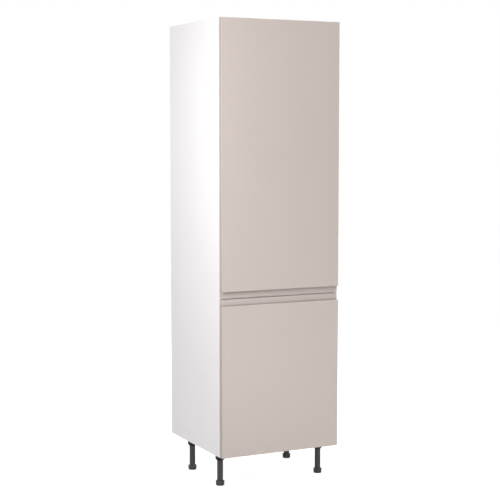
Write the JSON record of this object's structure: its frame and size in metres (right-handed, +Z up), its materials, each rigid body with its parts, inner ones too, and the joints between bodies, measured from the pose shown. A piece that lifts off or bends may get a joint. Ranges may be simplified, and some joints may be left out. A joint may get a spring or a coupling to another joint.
{
  "type": "tall kitchen larder unit",
  "caption": "Tall kitchen larder unit with slab doors on concealed hinges, full-width J-pull finger grooves, inner shelves, a rear service void and levelling legs.",
  "frame": {"origin": "on the floor, under the middle of the whole unit's footprint", "axes": "+Z up, -Y out of the doors towards the room, +X towards the hinge side"},
  "size_m": [0.6, 0.584, 2.122],
  "materials": {
    "white_board": "white melamine, satin",
    "back_board": "white faced board, satin",
    "cashmere_door": "cashmere painted board, smooth matt",
    "beech": "plain beech",
    "nickel_steel": "nickel plated, satin",
    "socket_plastic": "black moulded plastic",
    "leg_plastic": "dark grey moulded plastic",
    "foot_plastic": "dark grey moulded plastic",
    "buffer_rubber": "soft clear pad"
  },
  "bodies": {
    "carcass": {"side_panel_left": "white_board", "side_panel_right": "white_board", "base_panel": "white_board", "top_panel": "white_board", "fixed_shelf": "white_board", "back_panel_lower": "back_board", "back_panel_upper": "back_board", "rear_rail_top": "white_board", "rear_rail_middle": "white_board", "dowels": "beech", "shelf_supports": "nickel_steel", "lower_shelf_1": "white_board", "upper_shelf_1": "white_board", "upper_shelf_2": "white_board", "hinge_mounting_plates": "nickel_steel", "hinge_arms": "nickel_steel", "leg_socket_front_left": "socket_plastic", "leg_tube_front_left": "leg_plastic", "leg_socket_front_right": "socket_plastic", "leg_tube_front_right": "leg_plastic", "leg_socket_rear_left": "socket_plastic", "leg_tube_rear_left": "leg_plastic", "leg_socket_rear_right": "socket_plastic", "leg_tube_rear_right": "leg_plastic"},
    "upper_outer_link_set": {"upper_outer_links": "nickel_steel"},
    "upper_door_leaf": {"upper_door": "cashmere_door", "upper_door_buffers": "buffer_rubber", "upper_hinge_cups": "nickel_steel"},
    "upper_inner_link_set": {"upper_inner_links": "nickel_steel"},
    "lower_outer_link_set": {"lower_outer_links": "nickel_steel"},
    "lower_door_leaf": {"lower_door": "cashmere_door", "lower_door_buffers": "buffer_rubber", "lower_hinge_cups": "nickel_steel"},
    "lower_inner_link_set": {"lower_inner_links": "nickel_steel"},
    "foot_front_left": {"leg_foot_front_left": "foot_plastic"},
    "foot_front_right": {"leg_foot_front_right": "foot_plastic"},
    "foot_rear_left": {"leg_foot_rear_left": "foot_plastic"},
    "foot_rear_right": {"leg_foot_rear_right": "foot_plastic"}
  },
  "joints": [
    {"name": "upper_outer_link_swing", "type": "hinge", "parent": "carcass", "child": "upper_outer_link_set", "pos_m": [0.27005, -0.26979, 1.514], "axis": [0, 0, -1], "range_deg": [0, 34.69]},
    {"name": "upper_door_swing", "type": "hinge", "parent": "upper_outer_link_set", "child": "upper_door_leaf", "pos_m": [0.28678, -0.27757, 1.514], "axis": [0, 0, 1], "range_deg": [0, 129.68]},
    {"name": "upper_inner_link_swing", "type": "hinge", "parent": "upper_door_leaf", "child": "upper_inner_link_set", "pos_m": [0.28771, -0.2725, 1.514], "axis": [0, 0, -1], "range_deg": [0, 126.74]},
    {"name": "lower_outer_link_swing", "type": "hinge", "parent": "carcass", "child": "lower_outer_link_set", "pos_m": [0.27005, -0.26979, 0.4975], "axis": [0, 0, -1], "range_deg": [0, 34.69]},
    {"name": "lower_door_swing", "type": "hinge", "parent": "lower_outer_link_set", "child": "lower_door_leaf", "pos_m": [0.28678, -0.27757, 0.4975], "axis": [0, 0, 1], "range_deg": [0, 129.68]},
    {"name": "lower_inner_link_swing", "type": "hinge", "parent": "lower_door_leaf", "child": "lower_inner_link_set", "pos_m": [0.28771, -0.2725, 0.4975], "axis": [0, 0, -1], "range_deg": [0, 126.74]},
    {"name": "foot_front_left_travel", "type": "slide", "parent": "carcass", "child": "foot_front_left", "axis": [0, 0, -1], "range_m": [0, 0.03]},
    {"name": "foot_front_right_travel", "type": "slide", "parent": "carcass", "child": "foot_front_right", "axis": [0, 0, -1], "range_m": [0, 0.03]},
    {"name": "foot_rear_left_travel", "type": "slide", "parent": "carcass", "child": "foot_rear_left", "axis": [0, 0, -1], "range_m": [0, 0.03]},
    {"name": "foot_rear_right_travel", "type": "slide", "parent": "carcass", "child": "foot_rear_right", "axis": [0, 0, -1], "range_m": [0, 0.03]}
  ],
  "couplings": [
    {"joint": "upper_outer_link_swing", "follows": "upper_door_swing", "ratio": 0.2674},
    {"joint": "upper_inner_link_swing", "follows": "upper_door_swing", "ratio": 0.97729},
    {"joint": "lower_outer_link_swing", "follows": "lower_door_swing", "ratio": 0.2674},
    {"joint": "lower_inner_link_swing", "follows": "lower_door_swing", "ratio": 0.97729}
  ]
}
